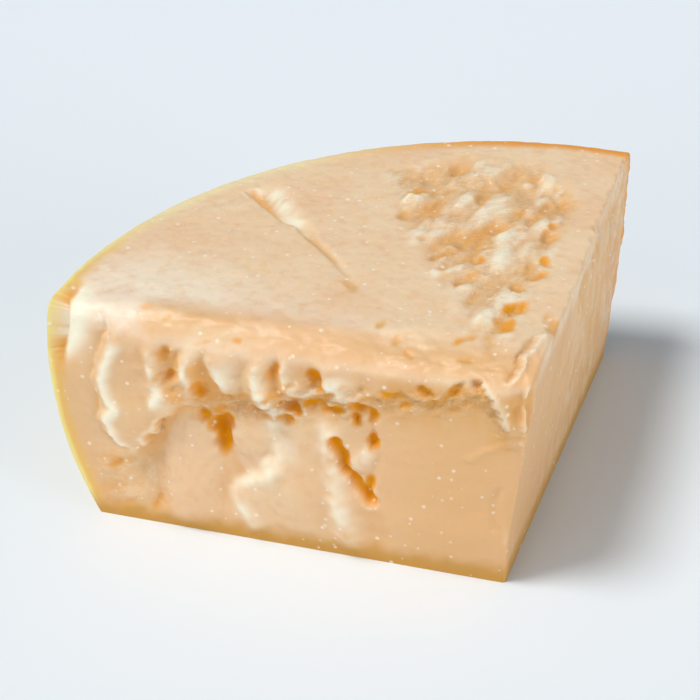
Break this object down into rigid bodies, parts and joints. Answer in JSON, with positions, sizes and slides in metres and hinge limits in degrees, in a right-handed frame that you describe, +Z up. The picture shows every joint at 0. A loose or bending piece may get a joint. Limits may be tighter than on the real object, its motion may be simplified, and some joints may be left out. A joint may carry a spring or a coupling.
{
  "type": "hard cheese wedge",
  "caption": "Broken wedge of aged hard grating cheese with a curved waxy rind, a flat rind underside and rough, scalloped paste on top and sides.",
  "frame": {"origin": "bottom centre of the chunk's box, on the surface it stands on", "axes": "+Z up, out of the broken top; +X along the longest extent, between the two rind corners, to the right when the inner corner points at the viewer; +Y from the inner corner towards the curved rind"},
  "size_m": [0.3072, 0.214, 0.1141],
  "materials": {
    "cheese": "pale straw paste with white crystals, and a waxy amber rind on the curved back and the underside; soft satin sheen"
  },
  "bodies": {
    "root": {"parmesan_chunk": "cheese"}
  },
  "joints": []
}
